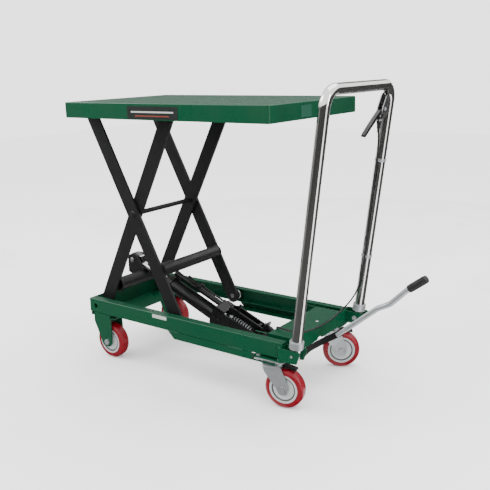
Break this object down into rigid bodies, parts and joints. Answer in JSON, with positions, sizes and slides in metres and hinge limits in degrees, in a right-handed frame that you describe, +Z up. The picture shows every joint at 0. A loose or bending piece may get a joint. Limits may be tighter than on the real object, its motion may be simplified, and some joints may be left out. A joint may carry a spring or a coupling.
{
  "type": "scissor lift table",
  "caption": "Wheeled hydraulic scissor lift table: a flat platform on crossed arms over a low frame, raised by a foot pump, with a push handle and release lever.",
  "frame": {"origin": "on the floor, under the middle of the whole object's length and width", "axes": "+X along the length towards the push handle and pedal, +Y across the width, +Z up"},
  "size_m": [1.1885, 0.5, 0.964],
  "materials": {
    "green_paint": "glossy",
    "arm_paint": "satin",
    "black_paint": "satin",
    "chrome": "polished",
    "zinc": "satin",
    "steel": "satin",
    "rubber": "matte",
    "red_tyre": "glossy",
    "hub_grey": "satin",
    "black_plastic": "satin"
  },
  "bodies": {
    "base": {"base_rail_near": "green_paint", "base_rail_far": "green_paint", "sub_rails": "green_paint", "end_member": "green_paint", "handle_deck": "green_paint", "pump_pivot_pin": "steel", "arm_pivot_pins": "steel", "fixed_wheel_brackets": "green_paint", "fixed_wheel_axles": "zinc", "handle_brackets": "green_paint", "push_handle": "chrome", "handle_fixings": "zinc", "lever_bracket": "steel", "release_cable": "rubber", "cable_clips": "zinc", "caster_top_plates": "zinc", "caster_bolts": "zinc"},
    "inner_arms": {"inner_arm_near": "arm_paint", "inner_arm_far": "arm_paint", "inner_tube": "arm_paint", "ram_pin": "steel", "centre_rod": "arm_paint", "upper_roller_pins": "steel"},
    "outer_arms": {"outer_arm_near": "arm_paint", "outer_arm_far": "arm_paint", "outer_cross_tube": "arm_paint", "lower_roller_pins": "steel"},
    "platform": {"platform_pan": "green_paint", "platform_guides": "green_paint", "platform_pivot_pins": "steel"},
    "pump_unit": {"lift_cylinder": "black_paint", "pump_block": "black_paint", "reservoir_tube": "black_paint", "pump_side_plates": "black_paint", "cable_stop": "black_paint", "pump_fittings": "zinc"},
    "ram": {"ram_rod": "chrome"},
    "plunger": {"pump_plunger": "black_paint", "plunger_spring": "zinc"},
    "release_arm": {"release_arm": "black_paint"},
    "pedal": {"pedal_lever": "black_paint", "pedal_tube": "zinc", "pedal_grip": "rubber"},
    "hand_lever": {"hand_lever": "black_paint"},
    "lower_roller_near": {"lower_roller_near": "steel"},
    "upper_roller_near": {"upper_roller_near": "steel"},
    "fixed_wheel_near": {"fixed_tyre_near": "red_tyre", "fixed_hub_near": "hub_grey"},
    "caster_near": {"caster_fork_near": "zinc"},
    "caster_wheel_near": {"caster_tyre_near": "red_tyre", "caster_hub_near": "hub_grey"},
    "brake_near": {"brake_pedal_near": "black_plastic"},
    "lower_roller_far": {"lower_roller_far": "steel"},
    "upper_roller_far": {"upper_roller_far": "steel"},
    "fixed_wheel_far": {"fixed_tyre_far": "red_tyre", "fixed_hub_far": "hub_grey"},
    "caster_far": {"caster_fork_far": "zinc"},
    "caster_wheel_far": {"caster_tyre_far": "red_tyre", "caster_hub_far": "hub_grey"},
    "brake_far": {"brake_pedal_far": "black_plastic"}
  },
  "joints": [
    {"name": "lift", "type": "hinge", "parent": "base", "child": "inner_arms", "pos_m": [-0.56525, 0, 0.19], "axis": [0, 1, 0], "range_deg": [0, 54.5]},
    {"name": "cross", "type": "hinge", "parent": "inner_arms", "child": "outer_arms", "pos_m": [-0.38979, 0, 0.5355], "axis": [0, 1, 0], "range_deg": [-109, 0]},
    {"name": "platform_level", "type": "hinge", "parent": "outer_arms", "child": "platform", "pos_m": [-0.56525, 0, 0.881], "axis": [0, 1, 0], "range_deg": [0, 54.5]},
    {"name": "pump_tilt", "type": "hinge", "parent": "base", "child": "pump_unit", "pos_m": [0.10775, 0, 0.112], "axis": [0, 1, 0], "range_deg": [-1.94, 0]},
    {"name": "ram_slide", "type": "slide", "parent": "pump_unit", "child": "ram", "axis": [0.9252, 0, -0.3795], "range_m": [0, 0.1202]},
    {"name": "pedal_stroke", "type": "hinge", "parent": "pump_unit", "child": "pedal", "pos_m": [0.01214, 0, 0.16514], "axis": [0, 1, 0], "range_deg": [0, 15], "stiffness_Nm_per_rad": 60, "springref_deg": -20.05},
    {"name": "plunger_slide", "type": "slide", "parent": "pump_unit", "child": "plunger", "axis": [-0.9252, 0, 0.3795], "range_m": [0, 0.0162], "deforming": ["plunger_spring"]},
    {"name": "hand_lever_pull", "type": "hinge", "parent": "base", "child": "hand_lever", "pos_m": [0.3673, 0.158, 0.877], "axis": [0.9912, 0, -0.1321], "range_deg": [-20, 0], "stiffness_Nm_per_rad": 1.5, "springref_deg": 11.46},
    {"name": "release_pull", "type": "hinge", "parent": "pump_unit", "child": "release_arm", "pos_m": [-0.07738, 0, 0.19537], "axis": [0, 1, 0], "range_deg": [0, 10]},
    {"name": "lower_roller_spin_near", "type": "hinge", "parent": "outer_arms", "child": "lower_roller_near", "pos_m": [-0.21433, -0.182, 0.19], "axis": [0, 1, 0], "continuous": true},
    {"name": "upper_roller_spin_near", "type": "hinge", "parent": "inner_arms", "child": "upper_roller_near", "pos_m": [-0.21433, -0.1575, 0.881], "axis": [0, 1, 0], "continuous": true},
    {"name": "fixed_wheel_spin_near", "type": "hinge", "parent": "base", "child": "fixed_wheel_near", "pos_m": [-0.51725, -0.168, 0.0625], "axis": [0, 1, 0], "continuous": true},
    {"name": "caster_swivel_near", "type": "hinge", "parent": "base", "child": "caster_near", "pos_m": [0.18075, -0.173, 0.137], "axis": [0, 0, 1], "continuous": true},
    {"name": "caster_wheel_spin_near", "type": "hinge", "parent": "caster_near", "child": "caster_wheel_near", "pos_m": [0.22014, -0.16605, 0.0625], "axis": [-0.1736, 0.9848, 0], "continuous": true},
    {"name": "brake_press_near", "type": "hinge", "parent": "caster_near", "child": "brake_near", "pos_m": [0.22014, -0.16605, 0.135], "axis": [-0.1736, 0.9848, 0], "range_deg": [0, 6]},
    {"name": "lower_roller_spin_far", "type": "hinge", "parent": "outer_arms", "child": "lower_roller_far", "pos_m": [-0.21433, 0.182, 0.19], "axis": [0, 1, 0], "continuous": true},
    {"name": "upper_roller_spin_far", "type": "hinge", "parent": "inner_arms", "child": "upper_roller_far", "pos_m": [-0.21433, 0.1575, 0.881], "axis": [0, 1, 0], "continuous": true},
    {"name": "fixed_wheel_spin_far", "type": "hinge", "parent": "base", "child": "fixed_wheel_far", "pos_m": [-0.51725, 0.168, 0.0625], "axis": [0, 1, 0], "continuous": true},
    {"name": "caster_swivel_far", "type": "hinge", "parent": "base", "child": "caster_far", "pos_m": [0.18075, 0.173, 0.137], "axis": [0, 0, 1], "continuous": true},
    {"name": "caster_wheel_spin_far", "type": "hinge", "parent": "caster_far", "child": "caster_wheel_far", "pos_m": [0.2143, 0.19479, 0.0625], "axis": [-0.5446, 0.8387, 0], "continuous": true},
    {"name": "brake_press_far", "type": "hinge", "parent": "caster_far", "child": "brake_far", "pos_m": [0.2143, 0.19479, 0.135], "axis": [-0.5446, 0.8387, 0], "range_deg": [0, 6]}
  ],
  "couplings": [
    {"joint": "cross", "follows": "lift", "ratio": -2},
    {"joint": "platform_level", "follows": "lift", "ratio": 1},
    {"joint": "pump_tilt", "follows": "lift", "ratio": -0.03533},
    {"joint": "ram_slide", "follows": "lift", "m_per_rad": 0.12628},
    {"joint": "plunger_slide", "follows": "pedal_stroke", "m_per_rad": 0.046},
    {"joint": "release_pull", "follows": "hand_lever_pull", "ratio": -0.5}
  ]
}
